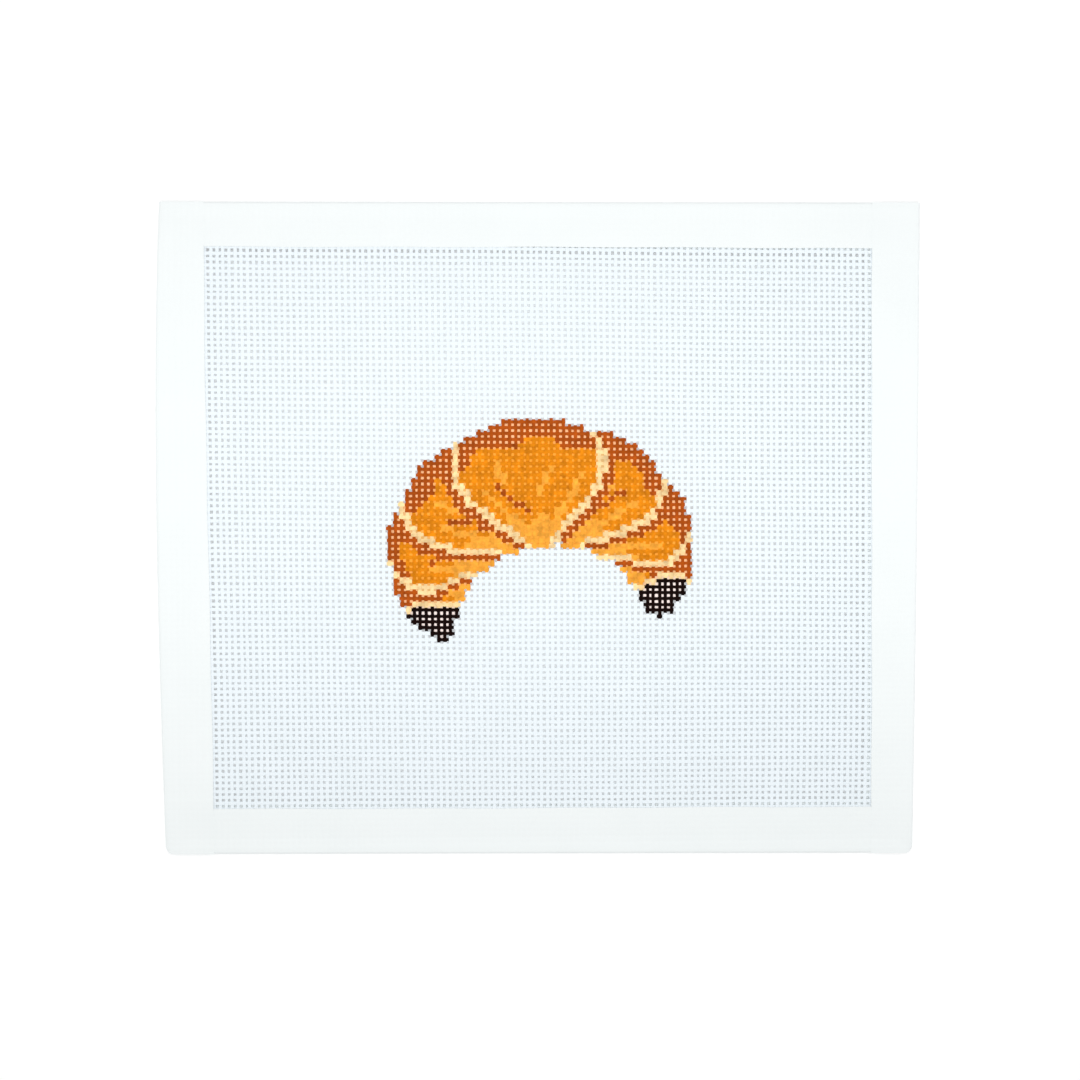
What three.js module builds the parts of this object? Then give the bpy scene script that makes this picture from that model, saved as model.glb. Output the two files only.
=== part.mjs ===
// A painted needlepoint canvas, lying on a table with its picture side up: a stiff open-weave cotton
// sheet whose raw edges are bound by four strips of white tape. Each strip is folded over its edge, half
// of it on either face. The top and bottom strips went on first, and the side strips lap over their ends
// at the four corners.
//
// Every piece is first laid out on an ideal panel, flat and cut square, and then settled into the real
// one, whose corners are trimmed by hand and whose middle stands a little off the table.
//
// Millimetres. X runs to the right of the picture, Y to its top and Z up, away from the table. The origin
// is on the table, under the middle of the panel.

import * as THREE from "three";

// The panel
const panelWidth = 181;
const panelHeight = 156;
const cornerShift = {
  // from the full rectangle's corner to where the edge was really cut
  topLeft: new THREE.Vector2(1.3, -0.8),
  topRight: new THREE.Vector2(0, 0),
  bottomLeft: new THREE.Vector2(1.3, 1),
  bottomRight: new THREE.Vector2(-0.1, -0.4),
};
const bottomCornerRadius = 2;
const leftBulge = 1.35; // the left edge is a shallow outward curve
const leftBulgeSkew = 0.75; // under 1 brings its fullest point above the middle

// The sheet
const canvasThickness = 0.7; // two threads, one over the other
const curlRise = 1.2; // the curl that the roll left in the sheet lifts its middle off the table
const flatEdge = 3.5; // the top and bottom edges lie flat for this far

// The tape
const tapeThickness = 0.2;
const layerGap = 0.04; // clear space between layers that touch
const foldInside = canvasThickness / 2 + layerGap; // radius of the fold
const foldOutside = foldInside + tapeThickness;
const lapLift = tapeThickness + layerGap; // how much a side strip spreads to ride over another strip
const lapEnd = 12.8; // it rides over it for this far
const lapRampEnd = 14.3; // and is back down on the sheet here

// The strips, counter-clockwise from the bottom one: quarter turns from there, and the width of the tape in
// front and behind, at the start and at the end. They weren't folded quite in half.
const strips = [
  { name: "tape_bottom", turns: 0, front: [11, 11.25], back: [12.4, 12.6] },
  { name: "tape_right", turns: 1, front: [10.3, 11.75], back: [11.7, 13.1] },
  { name: "tape_top", turns: 2, front: [10.8, 10.5], back: [11.2, 10.6] },
  { name: "tape_left", turns: 3, front: [10.35, 11.65], back: [10.35, 11.65] },
];
const sheetInset = 0.65; // from the outside of a fold to the raw edge within it
const sideInset = 0.9; // the same inside the side strips, where the other two strips end as well

// Facets
const foldLine = 1.2; // the first line of facets inside the fold
const midTape = 7.5; // and one halfway across a strip
const edgeLines = [0, foldLine, bottomCornerRadius, flatEdge, midTape, lapEnd, lapRampEnd];
const clearOfRim = 1; // the strips have no other line this close to their inner rim
const middleFacets = 12;
const foldFacets = 2; // in a quarter turn of a fold

const canvasCotton = new THREE.MeshStandardMaterial({ name: "canvas", color: 0xf1f6f8, roughness: 0.9 });
const whiteTape = new THREE.MeshStandardMaterial({ name: "tape", color: 0xfafdfc, roughness: 0.65 });

// Lines of facets along a length, close together near both of its ends.
function facetLines(length, inset) {
  const half = length / 2;
  const nearEnd = [inset, ...edgeLines.filter((line) => line > inset)];
  const lines = nearEnd.map((line) => line - half);
  for (let k = 1; k < middleFacets; k++) {
    lines.push((half - lapRampEnd) * ((2 * k) / middleFacets - 1));
  }
  return [...lines, ...nearEnd.map((line) => half - line).reverse()];
}

// Draws in the square at either bottom corner until its outer sides lie on a quarter circle.
function roundBottomCorner(point) {
  const side = Math.sign(point.x);
  const across = Math.abs(point.x) - (panelWidth / 2 - bottomCornerRadius);
  const down = bottomCornerRadius - panelHeight / 2 - point.y;
  if (across <= 0 || down <= 0) return;
  const pull = 1 - Math.max(across, down) / Math.hypot(across, down);
  point.x -= side * across * pull;
  point.y += down * pull;
}

// Pushes the left edge out into its curve. The mesh inside the tape stays where it is.
function bulgeLeftEdge(point) {
  const fromEdge = point.x + panelWidth / 2;
  if (fromEdge >= lapEnd) return;
  const fromTop = THREE.MathUtils.clamp(0.5 - point.y / panelHeight, 0, 1);
  const curve = Math.sin(Math.PI * Math.pow(fromTop, leftBulgeSkew));
  point.x -= leftBulge * curve * (1 - fromEdge / lapEnd);
}

// Moves the four corners by their shifts, and all that lies between them in proportion.
function shiftCorners(point) {
  const right = 0.5 + point.x / panelWidth;
  const up = 0.5 + point.y / panelHeight;
  const low = cornerShift.bottomLeft.clone().lerp(cornerShift.bottomRight, right);
  const high = cornerShift.topLeft.clone().lerp(cornerShift.topRight, right);
  const shift = low.lerp(high, up);
  point.x += shift.x;
  point.y += shift.y;
}

// Height of the sheet's middle layer: flat along the top and bottom edges, arched between them.
function curlHeight(y) {
  const fromMiddle = Math.min(1, Math.abs(y) / (panelHeight / 2 - flatEdge));
  return curlRise * (1 - fromMiddle * fromMiddle);
}

// Moves every vertex from the ideal panel to the real one.
function settle(geometry, idealPlace) {
  const positions = geometry.attributes.position;
  for (let i = 0; i < positions.count; i++) {
    const point = idealPlace(new THREE.Vector3().fromBufferAttribute(positions, i));
    point.z += curlHeight(point.y);
    roundBottomCorner(point);
    bulgeLeftEdge(point);
    shiftCorners(point);
    positions.setXYZ(i, point.x, point.y, point.z);
  }
  geometry.computeVertexNormals();
  return geometry;
}

// The woven sheet, its raw edges just inside the folds of the tape.
function makeCanvas() {
  const columns = facetLines(panelWidth, sideInset);
  const rows = facetLines(panelHeight, sheetInset);
  const across = columns.length - 1;
  const up = rows.length - 1;
  const sheet = new THREE.BoxGeometry(across, up, canvasThickness, across, up, 1);
  settle(sheet, (point) => {
    point.x = columns[Math.round(point.x + across / 2)];
    point.y = rows[Math.round(point.y + up / 2)];
    return point;
  });
  const mesh = new THREE.Mesh(sheet, canvasCotton);
  mesh.name = "canvas";
  return mesh;
}

// Section of a folded strip: x runs inwards from the fold, and y through the thickness of the panel.
function foldSection(face, kneeEnd) {
  const kneeLines = edgeLines.filter((line) => line > foldOutside && line < kneeEnd);
  const quarter = Math.PI / 2;
  const section = new THREE.Shape();
  section.moveTo(face, foldOutside);
  kneeLines.toReversed().forEach((line) => section.lineTo(line, foldOutside));
  section.absarc(foldOutside, 0, foldOutside, quarter, 3 * quarter, false);
  kneeLines.forEach((line) => section.lineTo(line, -foldOutside));
  section.lineTo(face, -foldOutside);
  section.lineTo(face, -foldInside);
  kneeLines.toReversed().forEach((line) => section.lineTo(line, -foldInside));
  section.absarc(foldOutside, 0, foldInside, 3 * quarter, quarter, true);
  kneeLines.forEach((line) => section.lineTo(line, foldInside));
  section.lineTo(face, foldInside);
  section.closePath();
  return section;
}

// How much a side strip has spread, at this distance from its nearer end, to ride over the strip below it.
function lapAt(fromEnd) {
  return lapLift * (1 - THREE.MathUtils.clamp((fromEnd - lapEnd) / (lapRampEnd - lapEnd), 0, 1));
}

// One strip of tape, folded over its edge of the sheet.
function makeStrip({ name, turns, front, back }) {
  const isSide = turns % 2 === 1;
  const length = isSide ? panelHeight : panelWidth;
  const reach = (isSide ? panelWidth : panelHeight) / 2; // how far out the fold lies
  const stations = facetLines(length, isSide ? 0 : sideInset);
  const steps = stations.length - 1;
  const face = Math.max(...front, ...back);
  const kneeEnd = Math.min(...front, ...back) - clearOfRim;
  const fold = new THREE.ExtrudeGeometry(foldSection(face, kneeEnd), {
    depth: steps,
    steps,
    curveSegments: foldFacets,
    bevelEnabled: false,
  });
  const upright = new THREE.Vector3(0, 0, 1);
  settle(fold, ({ x: inwards, y: through, z: step }) => {
    const along = stations[Math.round(step)];
    const widths = through > 0 ? front : back;
    const width = THREE.MathUtils.lerp(...widths, 0.5 + along / length);
    const narrowed = inwards > kneeEnd ? inwards - (face - width) : inwards;
    const lift = isSide ? lapAt(length / 2 - Math.abs(along)) : 0;
    const spread = lift * THREE.MathUtils.clamp(through / foldInside, -1, 1);
    const flat = new THREE.Vector3(along, narrowed - reach, through + spread);
    return flat.applyAxisAngle(upright, (turns * Math.PI) / 2);
  });
  const mesh = new THREE.Mesh(fold, whiteTape);
  mesh.name = name;
  return mesh;
}

const panel = new THREE.Group();
panel.add(makeCanvas(), ...strips.map(makeStrip));

// Stands the panel on the table, over the origin.
const extent = new THREE.Box3().setFromObject(panel, true);
const middle = extent.getCenter(new THREE.Vector3());
panel.position.set(-middle.x, -middle.y, -extent.min.z);

export default panel;
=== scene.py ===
import math

import bmesh
import bpy
import numpy as np
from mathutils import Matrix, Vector


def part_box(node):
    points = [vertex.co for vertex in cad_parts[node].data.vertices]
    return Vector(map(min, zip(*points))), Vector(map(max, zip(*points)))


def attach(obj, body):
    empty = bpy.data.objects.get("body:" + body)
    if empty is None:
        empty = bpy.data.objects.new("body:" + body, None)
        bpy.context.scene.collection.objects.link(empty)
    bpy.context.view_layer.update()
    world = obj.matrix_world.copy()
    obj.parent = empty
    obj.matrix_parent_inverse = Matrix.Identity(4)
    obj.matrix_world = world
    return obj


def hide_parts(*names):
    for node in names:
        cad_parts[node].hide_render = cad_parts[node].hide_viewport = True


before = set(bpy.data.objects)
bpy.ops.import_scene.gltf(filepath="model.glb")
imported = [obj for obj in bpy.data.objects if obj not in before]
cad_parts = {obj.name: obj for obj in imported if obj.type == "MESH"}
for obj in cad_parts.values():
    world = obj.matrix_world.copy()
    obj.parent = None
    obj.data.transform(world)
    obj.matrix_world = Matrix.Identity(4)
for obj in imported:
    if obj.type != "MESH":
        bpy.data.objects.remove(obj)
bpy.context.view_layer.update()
mm = 0.001
print("frame loaded:", len(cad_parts), "nodes")


# The panel as the frame has it, in mm. It is laid out flat and square, then settled into the real one.
panel = {
    "width": 181, "height": 156,
    "topLeft": (1.3, -0.8), "topRight": (0, 0),  # how far off square each corner was cut
    "bottomLeft": (1.3, 1), "bottomRight": (-0.1, -0.4),
    "cornerRadius": 2,  # the two bottom corners only
    "leftBulge": 1.35, "bulgeSkew": 0.75, "bulgeDepth": 12.8,
    "curlRise": 1.2,  # the middle stands this much off the table
    "flatEdge": 3.5,
    "foldRadius": 0.59,
    "lapLift": 0.09,  # of a side strip, where it lies over the end of another
}
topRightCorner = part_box("tape_right")[1] / mm
origin = Vector((
    topRightCorner.x - panel["width"] / 2,
    topRightCorner.y - panel["height"] / 2,
    panel["foldRadius"] + panel["lapLift"],
))


def curlHeight(y):
    flatFrom = panel["height"] / 2 - panel["flatEdge"]
    return panel["curlRise"] * (1 - np.minimum(1, np.abs(y) / flatFrom) ** 2)


def cornerShift(x, y):
    # the trim of the four corners, shared out over all that lies between them
    right = 0.5 + x / panel["width"]
    up = 0.5 + y / panel["height"]
    shift = []
    for axis in (0, 1):
        low = panel["bottomLeft"][axis] * (1 - right) + panel["bottomRight"][axis] * right
        high = panel["topLeft"][axis] * (1 - right) + panel["topRight"][axis] * right
        shift.append(low * (1 - up) + high * up)
    return shift


def settle(x, y, z):
    # from the flat, square panel to the real one
    z = z + curlHeight(y)
    across = np.abs(x) - (panel["width"] / 2 - panel["cornerRadius"])
    down = panel["cornerRadius"] - panel["height"] / 2 - y
    reach = np.maximum(np.hypot(across, down), 1e-6)
    pull = np.where((across > 0) & (down > 0), 1 - np.maximum(across, down) / reach, 0)
    x, y = x - np.sign(x) * across * pull, y + down * pull
    fromEdge = np.clip((x + panel["width"] / 2) / panel["bulgeDepth"], 0, 1)
    fromTop = np.clip(0.5 - y / panel["height"], 0, 1)
    x = x - panel["leftBulge"] * np.sin(np.pi * fromTop ** panel["bulgeSkew"]) * (1 - fromEdge)
    shiftX, shiftY = cornerShift(x, y)
    return x + shiftX, y + shiftY, z


def readPoints(mesh):
    points = np.empty(len(mesh.vertices) * 3)
    mesh.vertices.foreach_get("co", points)
    return points.reshape(-1, 3)


def placePoints(mesh, x, y, z):
    # from mm in the panel's own frame to metres in the CAD's
    points = (np.stack([x, y, z], axis=1) + np.array(origin)) * mm
    mesh.vertices.foreach_set("co", points.ravel())
    mesh.update()


def placeOnSheet(mesh, x, y, z):
    # for what already lies true to the real mesh, and only has to follow its curl
    placePoints(mesh, x, y, z + curlHeight(y - cornerShift(x, y)[1]))


def ease(amount):
    # a ramp from 0 to 1 with soft ends
    amount = np.clip(amount, 0, 1)
    return amount * amount * (3 - 2 * amount)


def finishPiece(name, mesh, material, slot, *nodes):
    piece = bpy.data.objects.new(name, mesh)
    bpy.context.collection.objects.link(piece)
    mesh.materials.clear()
    mesh.materials.append(material)
    mesh.polygons.foreach_set("use_smooth", [True] * len(mesh.polygons))
    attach(piece, "root")
    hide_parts(*nodes)
    return piece


# Camera, light and floor

view = {
    "place": (-24.86, 26.71, 498.67),  # mm from the middle of the panel
    "tilt": (-3.33, -2.853, 0.04),  # degrees
    "lens": 69.86,
}
light = {
    "sky": 0.78,
    "power": 0.235, "size": (0.45, 0.20), "place": (0, 0.023, 0.15),  # a softbox, low over the panel
}
floorForm = {
    "size": 40.0,
    "white": "#FAFAFA", "shade": "#F9F9F9", "cloud": 3.0,  # changes of tone in a metre
    "glow": (0.225, 0.125),  # painted light glowing from the floor, in the middle and beyond its reach
    "glowMiddle": (-0.01, 0.025, 0), "glowReach": 0.13,
    "paintedShadeFrom": 0.0615, "paintedShadeTo": 0.067, "paintedShade": 0.5,  # painted shade: beside the top tape the glow weakens to this part
}


def makeCamera():
    data = bpy.data.cameras.new("camera")
    data.lens = view["lens"]
    data.sensor_width = 36
    data.clip_start = 0.01
    camera = bpy.data.objects.new("camera", data)
    camera.location = Vector(view["place"]) * mm + Vector((origin.x, origin.y, 0)) * mm
    camera.rotation_euler = [math.radians(turn) for turn in view["tilt"]]
    bpy.context.collection.objects.link(camera)
    bpy.context.scene.camera = camera


def makeLight():
    world = bpy.data.worlds.new("softWhiteRoom")
    world.use_nodes = True
    background = world.node_tree.nodes["Background"]
    background.inputs["Color"].default_value = (1, 1, 1, 1)
    background.inputs["Strength"].default_value = light["sky"]
    bpy.context.scene.world = world
    data = bpy.data.lights.new("softbox", "AREA")
    data.energy = light["power"]
    data.shape = "RECTANGLE"
    data.size, data.size_y = light["size"]
    softbox = bpy.data.objects.new("softbox", data)
    softbox.location = light["place"]
    softbox.visible_camera = False
    bpy.context.collection.objects.link(softbox)
    bpy.context.scene.view_settings.view_transform = "Standard"


# Materials

def linear(colour):
    # sRGB hex to linear, with an alpha of one
    channels = [int(colour[k:k + 2], 16) / 255 for k in (1, 3, 5)]
    return [c / 12.92 if c <= 0.04045 else ((c + 0.055) / 1.055) ** 2.4 for c in channels] + [1]


def newMaterial(name, **sockets):
    material = bpy.data.materials.new(name)
    material.use_nodes = True
    shader = material.node_tree.nodes["Principled BSDF"]
    for socket, value in sockets.items():
        shader.inputs[socket.replace("_", " ")].default_value = value
    return material, shader


def addNode(material, kind, settings=None, inputs=None, outputs=None):
    # settings are the node's own; inputs hold values or links; outputs are linked on to other sockets
    node = material.node_tree.nodes.new(kind)
    for key, value in (settings or {}).items():
        setattr(node, key, value)
    for key, value in (inputs or {}).items():
        if isinstance(value, bpy.types.NodeSocket):
            material.node_tree.links.new(value, node.inputs[key])
        else:
            node.inputs[key].default_value = value
    for key, sockets in (outputs or {}).items():
        for socket in sockets:
            material.node_tree.links.new(node.outputs[key], socket)
    return node


cotton = {
    "white": "#E8EFF4",  # bleached cotton under starch, a little blue
    "shade": "#E3EBEF",
    "mottle": 6.0,  # mm between paler and darker lengths of a thread
    "paintMottle": 1.5,  # mm, from one brush mark to the next
    "brush": (0.76, 1.20),  # how much darker and lighter they are
    "filmBrush": (0.90, 1.06),  # and on the film across a hole, dried paint and painted light
    "roughness": (0.88, 0.60),  # bare, and painted
    "ply": 0.62,  # mm from ply to ply: the real ones are half as far apart, too fine to show
    "plyDepth": 0.02,  # mm
    "plyTurn": 45,  # degrees
}
waveScale = 0.314  # of a Wave texture whose bands are one unit apart


def starchedCotton(name, lean):
    # Mono canvas thread: twisted cotton, bleached, woven and starched stiff, then painted by brush with
    # acrylics. Dry and matt, with the faint diagonal of its plies. The paint soaks in and mottles, and
    # is a little glossier.
    material, shader = newMaterial(name, Specular_IOR_Level=0.05)
    place = addNode(material, "ShaderNodeTexCoord").outputs["Object"]
    paint = addNode(material, "ShaderNodeAttribute", {"attribute_name": "paint"})
    mottle = addNode(material, "ShaderNodeTexNoise", inputs={
        "Vector": place, "Scale": 1 / (cotton["mottle"] * mm), "Detail": 2})
    bare = addNode(material, "ShaderNodeMix", {"data_type": "RGBA"}, {
        "Factor": mottle.outputs["Fac"], 6: linear(cotton["shade"]), 7: linear(cotton["white"])})
    brush = addNode(material, "ShaderNodeTexNoise", inputs={
        "Vector": place, "Scale": 1 / (cotton["paintMottle"] * mm), "Detail": 3, "Roughness": 0.65})
    strength = addNode(material, "ShaderNodeMapRange", inputs={
        "Value": brush.outputs["Fac"], "From Min": 0.3, "From Max": 0.7,
        "To Min": cotton["brush"][0], "To Max": cotton["brush"][1]})
    toned = addNode(material, "ShaderNodeHueSaturation", inputs={
        "Color": paint.outputs["Color"], "Value": strength.outputs["Result"]})
    addNode(material, "ShaderNodeMix", {"data_type": "RGBA"}, {
        "Factor": paint.outputs["Alpha"], 6: bare.outputs[2], 7: toned.outputs["Color"],
    }, {2: [shader.inputs["Base Color"]]})
    addNode(material, "ShaderNodeMapRange", inputs={
        "Value": paint.outputs["Alpha"],
        "To Min": cotton["roughness"][0], "To Max": cotton["roughness"][1],
    }, outputs={"Result": [shader.inputs["Roughness"]]})
    turned = addNode(material, "ShaderNodeMapping", inputs={
        "Vector": place, "Rotation": (0, 0, lean * math.radians(cotton["plyTurn"]))})
    plies = addNode(material, "ShaderNodeTexWave", {"wave_profile": "SIN"}, {
        "Vector": turned.outputs["Vector"], "Scale": waveScale / (cotton["ply"] * mm),
        "Distortion": 1.5, "Detail": 1})
    addNode(material, "ShaderNodeBump", inputs={
        "Height": plies.outputs["Fac"], "Distance": cotton["plyDepth"] * mm, "Strength": 0.8,
    }, outputs={"Normal": [shader.inputs["Normal"]]})
    return material


def driedFilmAndHoleGlow():
    # Acrylic paint thinned with water. Where it bridged a hole it dried to a thin, smooth, pale skin,
    # a little glossier than the painted threads. Its colours are partly painted light: the pale floor
    # seen through an open hole, tinted by the paint around it, and in the cream a painted shade.
    material, shader = newMaterial("driedAcrylicFilmAndHoleGlow", Roughness=0.45, Specular_IOR_Level=0.1)
    paint = addNode(material, "ShaderNodeAttribute", {"attribute_name": "paint"})
    place = addNode(material, "ShaderNodeTexCoord").outputs["Object"]
    brush = addNode(material, "ShaderNodeTexNoise", inputs={
        "Vector": place, "Scale": 1 / (cotton["paintMottle"] * mm), "Detail": 2})
    strength = addNode(material, "ShaderNodeMapRange", inputs={
        "Value": brush.outputs["Fac"], "From Min": 0.3, "From Max": 0.7,
        "To Min": cotton["filmBrush"][0], "To Max": cotton["filmBrush"][1]})
    addNode(material, "ShaderNodeHueSaturation", inputs={
        "Color": paint.outputs["Color"], "Value": strength.outputs["Result"],
    }, outputs={"Color": [shader.inputs["Base Color"]]})
    return material


paperTape = {
    "white": "#EBEFEF", "shade": "#E6EBEB",
    "cloud": 16.0,  # mm, the slow change of tone where the glue holds more or less
    "fibre": 0.9,  # mm, drawn twice as coarse as the real paper's fibres, so that it shows
    "fibreDepth": 0.02,
    "threadPitch": 1.41, "threadDepth": 0.03,  # of the mesh that shows through as relief
    "roughness": (0.55, 0.70),
}


def smoothPaperTape():
    # White paper tape: calendered crepe paper with a rubber glue, pressed down by hand over the threads.
    # An even, soft white with a low sheen, through which the grid of the threads just shows as relief.
    material, shader = newMaterial("whitePaperTape", Specular_IOR_Level=0.4)
    place = addNode(material, "ShaderNodeTexCoord").outputs["Object"]
    cloud = addNode(material, "ShaderNodeTexNoise", inputs={
        "Vector": place, "Scale": 1 / (paperTape["cloud"] * mm), "Detail": 2})
    addNode(material, "ShaderNodeMix", {"data_type": "RGBA"}, {
        "Factor": cloud.outputs["Fac"], 6: linear(paperTape["shade"]), 7: linear(paperTape["white"]),
    }, {2: [shader.inputs["Base Color"]]})
    addNode(material, "ShaderNodeMapRange", inputs={
        "Value": cloud.outputs["Fac"],
        "To Min": paperTape["roughness"][0], "To Max": paperTape["roughness"][1],
    }, outputs={"Result": [shader.inputs["Roughness"]]})
    fibre = addNode(material, "ShaderNodeTexNoise", inputs={
        "Vector": place, "Scale": 1 / (paperTape["fibre"] * mm), "Detail": 3})
    relief = addNode(material, "ShaderNodeBump", inputs={
        "Height": fibre.outputs["Fac"], "Distance": paperTape["fibreDepth"] * mm, "Strength": 0.6})
    for direction in ("X", "Y"):
        threads = addNode(material, "ShaderNodeTexWave", {"bands_direction": direction}, {
            "Vector": place, "Scale": waveScale / (paperTape["threadPitch"] * mm), "Distortion": 0.6})
        relief = addNode(material, "ShaderNodeBump", inputs={
            "Height": threads.outputs["Fac"], "Distance": paperTape["threadDepth"] * mm,
            "Strength": 0.5, "Normal": relief.outputs["Normal"]})
    material.node_tree.links.new(relief.outputs["Normal"], shader.inputs["Normal"])
    return material


def paleFloor():
    # A clean white floor, matt. Painted light glows from it, strongest under the middle of the panel,
    # to brighten the floor seen through the holes of the mesh.
    material, shader = newMaterial(
        "paleFloorPaintedGlow", Roughness=0.9, Specular_IOR_Level=0.1, Emission_Color=(1, 1, 1, 1))
    place = addNode(material, "ShaderNodeTexCoord").outputs["Object"]
    cloud = addNode(material, "ShaderNodeTexNoise", inputs={
        "Vector": place, "Scale": floorForm["cloud"]})
    addNode(material, "ShaderNodeMix", {"data_type": "RGBA"}, {
        "Factor": cloud.outputs["Fac"], 6: linear(floorForm["shade"]), 7: linear(floorForm["white"]),
    }, {2: [shader.inputs["Base Color"]]})
    # painted light: the floor's glow fades with distance from under the middle of the panel
    away = addNode(material, "ShaderNodeVectorMath", {"operation": "DISTANCE"}, {
        0: place, 1: floorForm["glowMiddle"]})
    glow = addNode(material, "ShaderNodeMapRange", {"interpolation_type": "SMOOTHSTEP"}, {
        "Value": away.outputs["Value"], "From Max": floorForm["glowReach"],
        "To Min": floorForm["glow"][0], "To Max": floorForm["glow"][1]})
    up = addNode(material, "ShaderNodeSeparateXYZ", inputs={"Vector": place})
    # painted shade: past the inner rim of the top tape the glow falls, so the top rows of holes look
    # darker
    paintedShadeRamp = addNode(material, "ShaderNodeMapRange", {"interpolation_type": "SMOOTHSTEP"}, {
        "Value": up.outputs["Y"], "From Min": floorForm["paintedShadeFrom"], "From Max": floorForm["paintedShadeTo"],
        "To Min": 1.0, "To Max": floorForm["paintedShade"]})
    addNode(material, "ShaderNodeMath", {"operation": "MULTIPLY"}, {
        0: glow.outputs["Result"], 1: paintedShadeRamp.outputs["Result"],
    }, {0: [shader.inputs["Emission Strength"]]})
    return material


def makeFloor():
    mesh = bpy.data.meshes.new("floor")
    floorShape = bmesh.new()
    bmesh.ops.create_grid(floorShape, x_segments=1, y_segments=1, size=floorForm["size"] / 2)
    floorShape.to_mesh(mesh)
    floorShape.free()
    mesh.materials.append(paleFloor())
    floor = bpy.data.objects.new("floor", mesh)
    bpy.context.collection.objects.link(floor)
    return floor


# The painted picture: a crescent of rolled pastry, dipped in chocolate at both tips. Counted in threads.

paints = {
    # on a thread; as the thin film across a hole, partly dried paint and partly painted light, the lit
    # floor through the hole tinted by the threads, and in the cream a painted shade; and how much it
    # swells the threads
    "brown": ("#AA4C0E", "#FCBD8A", 1.0),
    "amber": ("#DC820E", "#F9A637", 1.07),
    "honey": ("#EFA238", "#F8AB3D", 1.12),
    "cream": ("#F2D199", "#DBB173", 1.07),
    "chocolate": ("#120301", "#F6E6E0", 1.0),
}
crescent = {
    "place": (1.0, 0.4), "size": (1.03, 0.95),
    "centreDown": 11.0, "radius": 18.6,  # of the arc down its middle
    "reach": math.radians(106), "lean": math.radians(-7),
    "thick": 10.8, "tipThick": 2.4, "taper": 0.8, "bulge": 0.10,
    "laps": (0.20, 0.47, 0.70),  # where each rolled layer tucks under the next, from the middle to a tip
    "lapBow": 0.115, "lapSlant": 0.02,
    "dip": 0.87, "dipLine": 0.9,  # where the chocolate starts, and the pale line before it
    "litEdge": 1.35, "bakedEdge": 1.5,  # width of a layer's pale edge and of the brown one below it
    "crustFrom": 0.66, "softSide": -0.5, "sideWander": 0.09,  # brown outer side and honey inner one
    "streakFrom": 3.1, "streakWidth": 1.15,  # honey streaks, counted back from a layer's edge
    "flakeFrom": 5.9,  # brown flakes, likewise, and behind them a honey one
}
layerEdges = [-crescent["laps"][0], *crescent["laps"], 1.2]  # the last is past the tip


def halfThickness(along):
    away = min(1, abs(along))
    taper = math.cos(math.pi / 2 * away) ** crescent["taper"]
    slim = crescent["tipThick"] + (crescent["thick"] - crescent["tipThick"]) * taper
    layer = sum(away > lap for lap in crescent["laps"])
    through = (away - layerEdges[layer]) / (layerEdges[layer + 1] - layerEdges[layer])
    return slim * (1 + crescent["bulge"] * math.sin(math.pi * min(1, max(0, through))))


def paintAt(right, up):
    # the paint on a crossing of the threads, or None where it is left bare
    # small waves keep its lines from looking ruled
    x = (right - crescent["place"][0]) / crescent["size"][0]
    y = (up - crescent["place"][1]) / crescent["size"][1] + crescent["centreDown"]
    turnX, turnY = math.cos(crescent["lean"]), math.sin(crescent["lean"])
    x, y = x * turnX - y * turnY, x * turnY + y * turnX
    angle, distance = math.atan2(x, y), math.hypot(x, y)
    along = angle / crescent["reach"]  # from -1 at the left tip to 1 at the right one
    side = math.copysign(1, along)
    if abs(along) > 1:
        tip = side * crescent["reach"]
        tipX, tipY = crescent["radius"] * math.sin(tip), crescent["radius"] * math.cos(tip)
        fromTip = math.hypot(x - tipX, y - tipY)
        return "chocolate" if fromTip < crescent["tipThick"] else None
    across = (distance - crescent["radius"]) / halfThickness(along)  # from -1 inside to 1 outside
    if abs(across) > 1:
        return None
    away, run = abs(along), crescent["reach"] * distance
    dipped = (away - crescent["dip"]) * run + crescent["dipLine"] * math.sin(2.4 * across + 1)
    if dipped > 0:
        return "cream" if dipped < crescent["dipLine"] else "chocolate"
    bow = crescent["lapBow"] * (1 - across * across) + crescent["lapSlant"] * across
    layer = sum(away > lap + bow for lap in crescent["laps"])
    fromLap = (away - layerEdges[layer] - (bow if layer else 0)) * run
    toLap = (layerEdges[layer + 1] + bow - away) * run
    if toLap < crescent["litEdge"]:
        return "cream"
    if layer and fromLap < crescent["bakedEdge"] + 0.5 * across:
        return "brown"
    wander = crescent["sideWander"] * math.sin(0.9 * angle * crescent["radius"] + 2 * layer * side)
    if across > crescent["crustFrom"] + wander:
        return "brown"
    streak = toLap - crescent["streakFrom"] - 0.5 * math.sin(3 * across + layer)
    if 0 < streak < crescent["streakWidth"] and -0.75 < across < (0.30 if side > 0 else 0.12):
        return "honey"
    if across < crescent["softSide"] + wander:
        return "honey"
    flake = toLap - crescent["flakeFrom"] - 0.7 * math.sin(2 * across + 2 * side)
    isFlaked = layer in (1, 2) or side < 0 and not layer
    if isFlaked and 0 < flake < 1 and -0.30 < across - 0.1 * side < 0.22:
        return "brown"
    if layer < 2 and 1.9 < flake < 2.9 and -0.05 < across + 0.1 * side < 0.36:
        return "honey"
    return "amber"


# The mesh: warp threads run up the panel and weft threads across it, over and under by turns.

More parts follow.
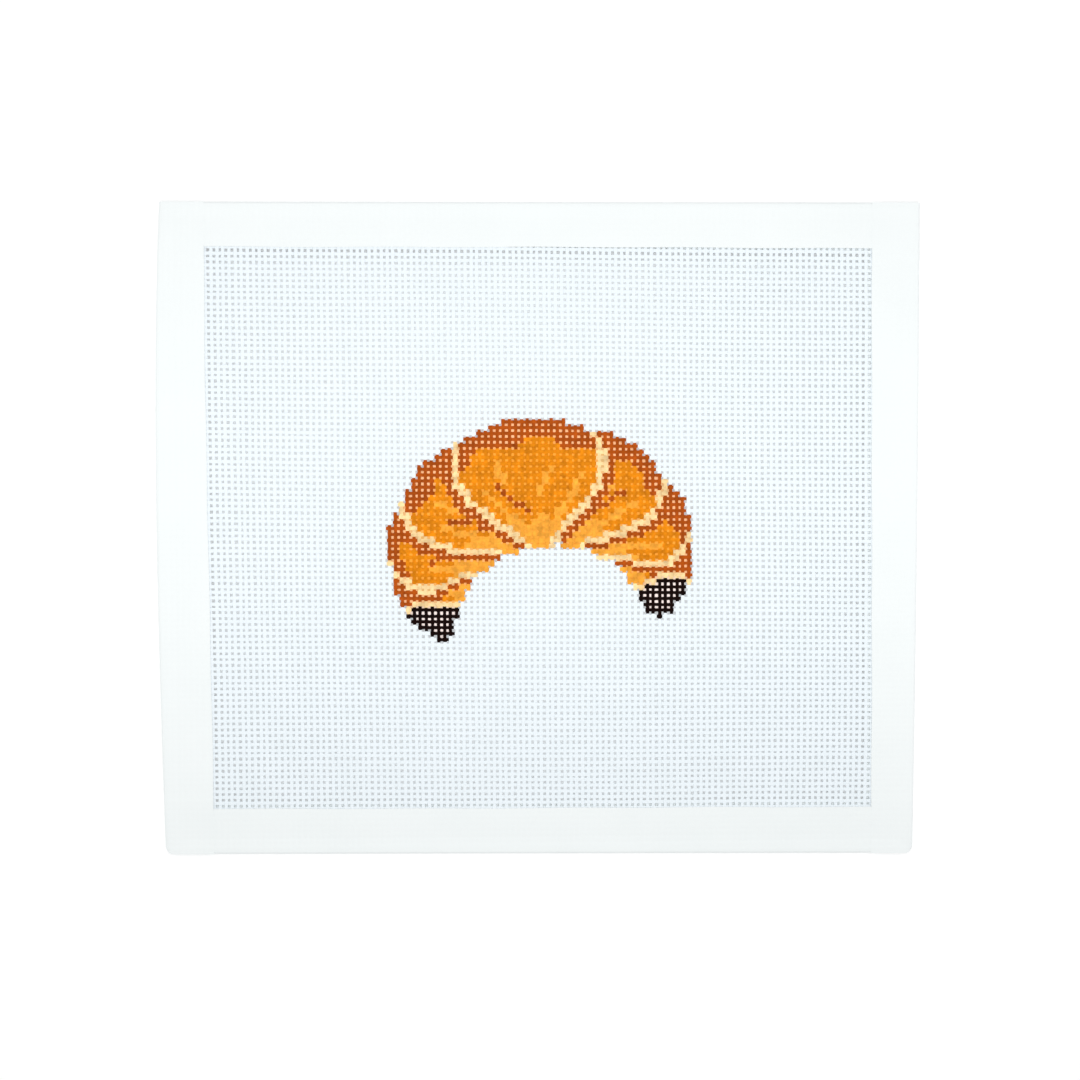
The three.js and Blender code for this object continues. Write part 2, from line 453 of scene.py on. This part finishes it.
weave = {
    "pitchAcross": 1.4216, "pitchUp": 1.4007,  # mm; 18 threads to the inch, pulled a little askew
    "middle": (-0.10, 0.60),  # where the two middle threads cross
    "warpLean": -0.0085, "weftLean": -0.0054,
    "thread": 0.378,  # half its width
    "knuckle": 1.12, "waist": 0.98,  # swollen where it crosses another, slimmer between
    "flatness": 0.33,  # starched flat: its height over its width
    "crimp": 0.20,  # how far a thread rises and dips, before that flattening
    "film": 0.03, "filmRise": 0.06,  # thickness of the film across a hole, dried paint and painted light, and its height there
    "sheetInset": 0.65, "sideInset": 0.9,  # from the fold of the tape to the raw edges
    "window": (-78.3, 79.5, -66.7, 67.6),  # left, right, bottom and top of the open mesh
    "underTape": 1.5,  # crossings still woven beyond the window
    "straightFrom": 6, "straightPoints": (6, 50),  # of a weft and a warp thread that the tape hides
    "edgeClear": 0.3,  # pitches from the last thread to the raw edge, at least
    "seed": 18,
    "wander": 0.04, "wanderLengths": (19, 7.3, 3.1),  # mm, how one thread strays by itself
    "sway": 0.17, "swayLengths": ((17, 25), (30, -11)),  # and how neighbours drift off square together
    "jitter": 0.045, "slub": 0.07,  # small shifts and lumps at each crossing
    "brushReach": 0.12,  # pitches that the paint strays past a crossing, or falls short
    "crispAngle": 50,  # the tops of the threads are flat, as pressed
    "seep": 0.45,  # how much of the paint shows on the back
    "paintVariation": 0.10,  # from crossing to crossing
    "chartReach": 32,  # crossings from the middle that the picture may take up
}


def threadSpan(low, high, pitch, middle, extra):
    return math.ceil((low - middle) / pitch - extra), math.floor((high - middle) / pitch + extra)


def drawChart(random):
    # colour and strength of the paint on every crossing, like a stitcher's chart, and of its film, which
    # also paints the light and shade of the holes
    reach = weave["chartReach"]
    chart, filmsAndHoleGlow = np.zeros((2, 2 * reach + 1, 2 * reach + 1, 4))
    swell = np.ones(chart.shape[:2] + (1,))
    for column in range(-reach, reach + 1):
        for row in range(-reach, reach + 1):
            paint = paintAt(column, row)
            if paint:
                onThread, filmAndHoleGlow, swollen = paints[paint]
                chart[column + reach, row + reach] = linear(onThread)
                filmsAndHoleGlow[column + reach, row + reach] = linear(filmAndHoleGlow)
                swell[column + reach, row + reach] = swollen
    chart[..., :3] *= 1 + weave["paintVariation"] * random.uniform(-1, 1, chart.shape[:2])[..., None]
    return chart, filmsAndHoleGlow, swell


def readChart(chart, column, row, beyond=0):
    reach = weave["chartReach"]
    inside = (np.abs(column) <= reach) & (np.abs(row) <= reach)
    found = chart[np.clip(column, -reach, reach) + reach, np.clip(row, -reach, reach) + reach]
    return np.where(inside[:, None], found, beyond)


def layThreads(isWarp, swell, random):
    # the centre lines of all the threads that run one way: a list of points and radii for each
    left, right, bottom, top = weave["window"]
    ways = [
        # of the warp and of the weft: the mesh's first and last, pitch, middle, lean and raw edge
        (left, right, weave["pitchAcross"], weave["middle"][0], weave["warpLean"],
         panel["width"] / 2 - weave["sideInset"]),
        (bottom, top, weave["pitchUp"], weave["middle"][1], weave["weftLean"],
         panel["height"] / 2 - weave["sheetInset"]),
    ]
    own, other = ways if isWarp else ways[::-1]
    low, high, pitch, middle, lean, edge = own
    otherLow, otherHigh, otherPitch, otherMiddle, otherLean, end = other
    woven = threadSpan(low, high, pitch, middle, weave["underTape"])
    outermost = edge - weave["thread"]
    every = threadSpan(-outermost, outermost, pitch, middle, -weave["edgeClear"])
    crossed = threadSpan(otherLow, otherHigh, otherPitch, otherMiddle, weave["underTape"])
    halfSteps = np.arange(2 * crossed[0], 2 * crossed[1] + 1)
    atCrossing = halfSteps % 2 == 0
    hidden = weave["crimp"] if isWarp else -weave["crimp"]
    lines = []
    for index in range(every[0], every[1] + 1):
        sideways = middle + index * pitch
        if woven[0] <= index <= woven[1]:
            blur = weave["brushReach"] * random.uniform(-1, 1, halfSteps.size)
            along = otherMiddle + (halfSteps / 2 + blur * ~atCrossing) * otherPitch
            over = (halfSteps // 2 + index) % 2 == (0 if isWarp else 1)
            height = np.where(atCrossing, np.where(over, 1, -1) * weave["crimp"], 0)
            phase = random.uniform(0, 2 * math.pi, 3)
            waves = [np.sin(along / length + p) for length, p in zip(weave["wanderLengths"], phase)]
            offset = weave["wander"] * (sum(waves) / 2 + random.normal())
            offset += weave["jitter"] * random.normal(0, 0.5, halfSteps.size)
            for k, (length, width) in enumerate(weave["swayLengths"], start=1):
                offset += weave["sway"] / 2 * np.sin(along / length + sideways / width + k * isWarp)
            crossing = np.rint(halfSteps / 2).astype(int)
            here = np.full(halfSteps.size, index)
            place = (here, crossing) if isWarp else (crossing, here)
            thick = np.where(atCrossing, weave["knuckle"], weave["waist"])
            thick = thick * readChart(swell, *place, 1)[:, 0]
            thick = thick + weave["slub"] * random.uniform(-1, 1, halfSteps.size)
        else:
            straight = end - weave["straightFrom"]
            along = np.linspace(-straight, straight, weave["straightPoints"][isWarp])
            height, offset = np.full(along.size, hidden), np.zeros(along.size)
            thick = np.ones(along.size)
        # straight on to the raw edges, clear of the threads that lie the other way
        here, ends = np.full(2, sideways), np.array([-end, end])
        tips = settle(here, ends, 0)[1] if isWarp else settle(ends, here, 0)[0]
        first, last = along[0] - otherPitch, along[-1] + otherPitch
        along = np.concatenate([[tips[0], first], along, [last, tips[1]]])
        height = np.pad(height, 2, constant_values=hidden)
        offset = np.pad(offset, 2)
        thick = np.pad(thick, 2, constant_values=1)
        across = sideways + offset + lean * along
        along = along + otherLean * sideways
        points = np.stack([across, along, height] if isWarp else [along, across, height], axis=1)
        lines.append((points, thick))
    return lines


def threadMesh(name, lines):
    curve = bpy.data.curves.new(name, "CURVE")
    curve.dimensions = "3D"
    curve.twist_mode = "Z_UP"
    curve.bevel_depth = weave["thread"] * math.sqrt(2)
    curve.bevel_resolution = 0
    curve.use_fill_caps = True
    for points, thick in lines:
        spline = curve.splines.new("POLY")
        spline.points.add(len(points) - 1)
        spline.points.foreach_set("co", np.column_stack([points, np.ones(len(points))]).ravel())
        spline.points.foreach_set("radius", thick)
        spline.points.foreach_set("tilt", np.full(len(points), math.pi / 4))  # a flat side up
    drawn = bpy.data.objects.new(name, curve)
    bpy.context.collection.objects.link(drawn)
    evaluated = drawn.evaluated_get(bpy.context.evaluated_depsgraph_get())
    mesh = bpy.data.meshes.new_from_object(evaluated)
    bpy.data.objects.remove(drawn)
    bpy.data.curves.remove(curve)
    mesh.name = name
    return mesh


def latticeOf(x, y):
    # the crossing that a place on the mesh belongs to, counted from the middle one
    shear = 1 - weave["warpLean"] * weave["weftLean"]
    plainX = (x - weave["warpLean"] * y) / shear
    plainY = (y - weave["weftLean"] * x) / shear
    column = np.rint((plainX - weave["middle"][0]) / weave["pitchAcross"]).astype(int)
    row = np.rint((plainY - weave["middle"][1]) / weave["pitchUp"]).astype(int)
    return column, row


def perCorner(mesh, values):
    # repeats what each face has for each of its corners
    sides = np.empty(len(mesh.polygons), dtype=np.int32)
    mesh.polygons.foreach_get("loop_total", sides)
    return np.repeat(values, sides, axis=0)


def paintThreads(mesh, chart):
    # colour in the attribute "paint", with its strength as alpha, one crossing at a time
    faces = len(mesh.polygons)
    centre, normal = np.empty(faces * 3), np.empty(faces * 3)
    mesh.polygons.foreach_get("center", centre)
    mesh.polygons.foreach_get("normal", normal)
    centre, normal = centre.reshape(-1, 3), normal.reshape(-1, 3)
    column, row = latticeOf(centre[:, 0], centre[:, 1])
    colour = readChart(chart, column, row)
    facesUp = normal[:, 2] > -0.3
    colour[~facesUp, 3] *= weave["seep"]
    attribute = mesh.color_attributes.new("paint", "FLOAT_COLOR", "CORNER")
    attribute.data.foreach_set("color", perCorner(mesh, colour).ravel())
    return facesUp


def unwrapThreads(mesh, facesUp):
    # seen from above in the upper half of the square, and from below in the lower one
    while mesh.uv_layers:
        mesh.uv_layers.remove(mesh.uv_layers[0])
    corners = np.empty(len(mesh.loops), dtype=np.int32)
    mesh.loops.foreach_get("vertex_index", corners)
    points = readPoints(mesh)[corners]
    margin = 4  # mm, both sides together
    u = 0.5 + points[:, 0] / (panel["width"] + margin)
    v = (0.5 + points[:, 1] / (panel["height"] + margin)) / 2 + 0.5 * perCorner(mesh, facesUp)
    layer = mesh.uv_layers.new(name="OFBake")
    layer.uv.foreach_set("vector", np.stack([u, v], axis=1).ravel())


def makeThreads(name, isWarp, chart, swell, material):
    random = np.random.default_rng(weave["seed"] + isWarp)
    mesh = threadMesh(name, layThreads(isWarp, swell, random))
    facesUp = paintThreads(mesh, chart)
    unwrapThreads(mesh, facesUp)
    x, y, z = readPoints(mesh).T
    placeOnSheet(mesh, x, y, z * weave["flatness"])
    mesh.set_sharp_from_angle(angle=math.radians(weave["crispAngle"]))
    print(name, "made:", len(mesh.polygons), "faces")
    return finishPiece(name, mesh, material, "canvas", "canvas")


def layFilmAndHoleGlow(name, filmsAndHoleGlow, material):
    # thinned paint dries across the holes between four painted crossings; its pale colour is also
    # painted light, the lit floor seen through the hole, and in the cream painted shade
    reach = weave["chartReach"]
    sheet = bmesh.new()
    bmesh.ops.create_grid(sheet, x_segments=2 * reach, y_segments=2 * reach, size=reach)
    shade = sheet.loops.layers.float_color.new("paint")
    bare = []
    for face in sheet.faces:
        corners = [filmsAndHoleGlow[round(v.co.x) + reach, round(v.co.y) + reach] for v in face.verts]
        if min(corner[3] for corner in corners) == 0:
            bare.append(face)
        for loop in face.loops:
            loop[shade] = np.mean(corners, axis=0)
    bmesh.ops.delete(sheet, geom=bare, context="FACES")
    bmesh.ops.solidify(sheet, geom=sheet.faces[:], thickness=weave["film"])
    mesh = bpy.data.meshes.new(name)
    sheet.to_mesh(mesh)
    sheet.free()
    column, row, through = readPoints(mesh).T
    x = weave["middle"][0] + column * weave["pitchAcross"]
    y = weave["middle"][1] + row * weave["pitchUp"]
    x, y = x + weave["warpLean"] * y, y + weave["weftLean"] * x
    placeOnSheet(mesh, x, y, through + weave["filmRise"])
    print(name, "made:", len(mesh.polygons), "faces")
    return finishPiece(name, mesh, material, "canvas", "canvas")


# The tape: four strips folded over the raw edges. The side strips lap over the ends of the other two.

strips = {
    # quarter turns from the bottom one, and its width in front and behind, at its start and at its end
    "tape_bottom": (0, (11, 11.25), (12.4, 12.6)),
    "tape_right": (1, (10.3, 11.75), (11.7, 13.1)),
    "tape_top": (2, (10.8, 10.5), (11.2, 10.6)),
    "tape_left": (3, (10.35, 11.65), (10.35, 11.65)),
}
tapeForm = {
    "foldLines": 10,  # across the half circle of the fold
    "flatLines": 12,  # and across each face
    "step": 1.0,  # mm along the strip
    "paper": 0.08,  # thickness
    "pressed": 0.24, "pressedFrom": 4.0,  # how much flatter it is pressed, from this far inside an edge
    "lapEnd": 12.8, "lapRampEnd": 14.3,
    "endInset": 0.45,  # of the top and bottom strips, within the folds of the side ones
    "rimWander": 0.06, "rimLengths": (23, 5.7),
    "ripple": 0.03, "rippleLengths": (9, 4.1), "rippleSlant": 5, "calmLines": 4,  # none at the fold
    "fineStep": 0.45,  # near the ends
    "liftSpread": 1.5,  # how soon the lift is full, from the edge of the fold on
    "crispAngle": 40, "seed": 40,
}


def stripStations(length, inset):
    # places along a strip, closer together near its ends, where it laps
    half = length / 2 - inset
    fine = np.arange(0, tapeForm["lapRampEnd"] + 1, tapeForm["fineStep"])
    middle = half - fine[-1]
    coarse = np.linspace(-middle, middle, int(2 * middle / tapeForm["step"]))
    return np.concatenate([fine - half, coarse[1:-1], (half - fine)[::-1]])


def stripGrid(name, columns, rows):
    # a flat grid, and which column and row of it each vertex is in
    grid = bmesh.new()
    bmesh.ops.create_grid(grid, x_segments=columns, y_segments=rows, size=1)
    mesh = bpy.data.meshes.new(name)
    grid.to_mesh(mesh)
    grid.free()
    points = readPoints(mesh)
    column = np.rint((points[:, 0] + 1) / 2 * columns).astype(int)
    row = np.rint((points[:, 1] + 1) / 2 * rows).astype(int)
    return mesh, column, row


def makeStrip(name, material):
    turns, front, back = strips[name]
    isSide = turns % 2 == 1
    length, reach = panel["width"], panel["height"] / 2
    if isSide:
        length, reach = panel["height"], panel["width"] / 2
    stations = stripStations(length, 0 if isSide else tapeForm["endInset"])
    foldLines, flatLines = tapeForm["foldLines"], tapeForm["flatLines"]
    rows = foldLines + 2 * flatLines
    mesh, column, row = stripGrid(name, len(stations) - 1, rows)
    along = stations[column]
    random = np.random.default_rng(tapeForm["seed"] + turns)
    phase = random.uniform(0, 2 * math.pi, 6)

    width = np.zeros(along.size)
    for upper, ends in ((True, front), (False, back)):  # the two rims wander apart
        wander = sum(
            np.sin(along / size + phase[2 * upper + k]) for k, size in enumerate(tapeForm["rimLengths"]))
        rim = ends[0] + (ends[1] - ends[0]) * (0.5 + along / length) + tapeForm["rimWander"] * wander
        width = np.where((row > rows / 2) == upper, rim, width)

    # folded round the edge, then on over each face
    radius = panel["foldRadius"]
    fromFold = row - flatLines
    onFace = np.where(fromFold < 0, -fromFold, np.maximum(0, fromFold - foldLines))
    arc = np.linspace(-math.pi / 2, math.pi / 2, foldLines + 1)[np.clip(fromFold, 0, foldLines)]
    inwards = radius * (1 - np.cos(arc)) + onFace / flatLines * (width - radius)
    through = radius * np.sin(arc)
    face = np.sign(through)

    # rippled, pressed down, and lifted over the strip below
    ripple = sum(
        np.sin(along / size + inwards / tapeForm["rippleSlant"] + p)
        for size, p in zip(tapeForm["rippleLengths"], phase[4:]))
    calm = np.minimum(1, onFace / tapeForm["calmLines"])
    through = through + face * tapeForm["ripple"] * (ripple - 2) / 4 * calm
    fromEnd = length / 2 - np.abs(along)
    inside = np.minimum(inwards, fromEnd) if isSide else inwards
    press = ease((inside - radius) / (tapeForm["pressedFrom"] - radius))
    through = through - face * tapeForm["pressed"] * press
    if isSide:
        ramp = ease((fromEnd - tapeForm["lapEnd"]) / (tapeForm["lapRampEnd"] - tapeForm["lapEnd"]))
        spread = np.clip(through / radius * tapeForm["liftSpread"], -1, 1)
        through = through + panel["lapLift"] * (1 - ramp) * spread

    x, y = along, inwards - reach
    for _ in range(turns):
        x, y = -y, x
    placePoints(mesh, *settle(x, y, through))
    strip = bmesh.new()
    strip.from_mesh(mesh)
    bmesh.ops.solidify(strip, geom=strip.faces[:], thickness=tapeForm["paper"] * mm)
    strip.to_mesh(mesh)
    strip.free()
    mesh.set_sharp_from_angle(angle=math.radians(tapeForm["crispAngle"]))  # a crisp rim
    print(name, "made:", len(mesh.polygons), "faces")
    return finishPiece(name + "_fold", mesh, material, "tape", name)


makeCamera()
makeLight()
floor = makeFloor()
chart, filmsAndHoleGlow, swell = drawChart(np.random.default_rng(weave["seed"]))
warp = makeThreads("canvas_warp", True, chart, swell, starchedCotton("starchedWarpCotton", 1))
weft = makeThreads("canvas_weft", False, chart, swell, starchedCotton("starchedWeftCotton", -1))
film = layFilmAndHoleGlow("canvas_film_and_glow", filmsAndHoleGlow, driedFilmAndHoleGlow())
tapeMaterial = smoothPaperTape()
tapes = [makeStrip(name, tapeMaterial) for name in strips]
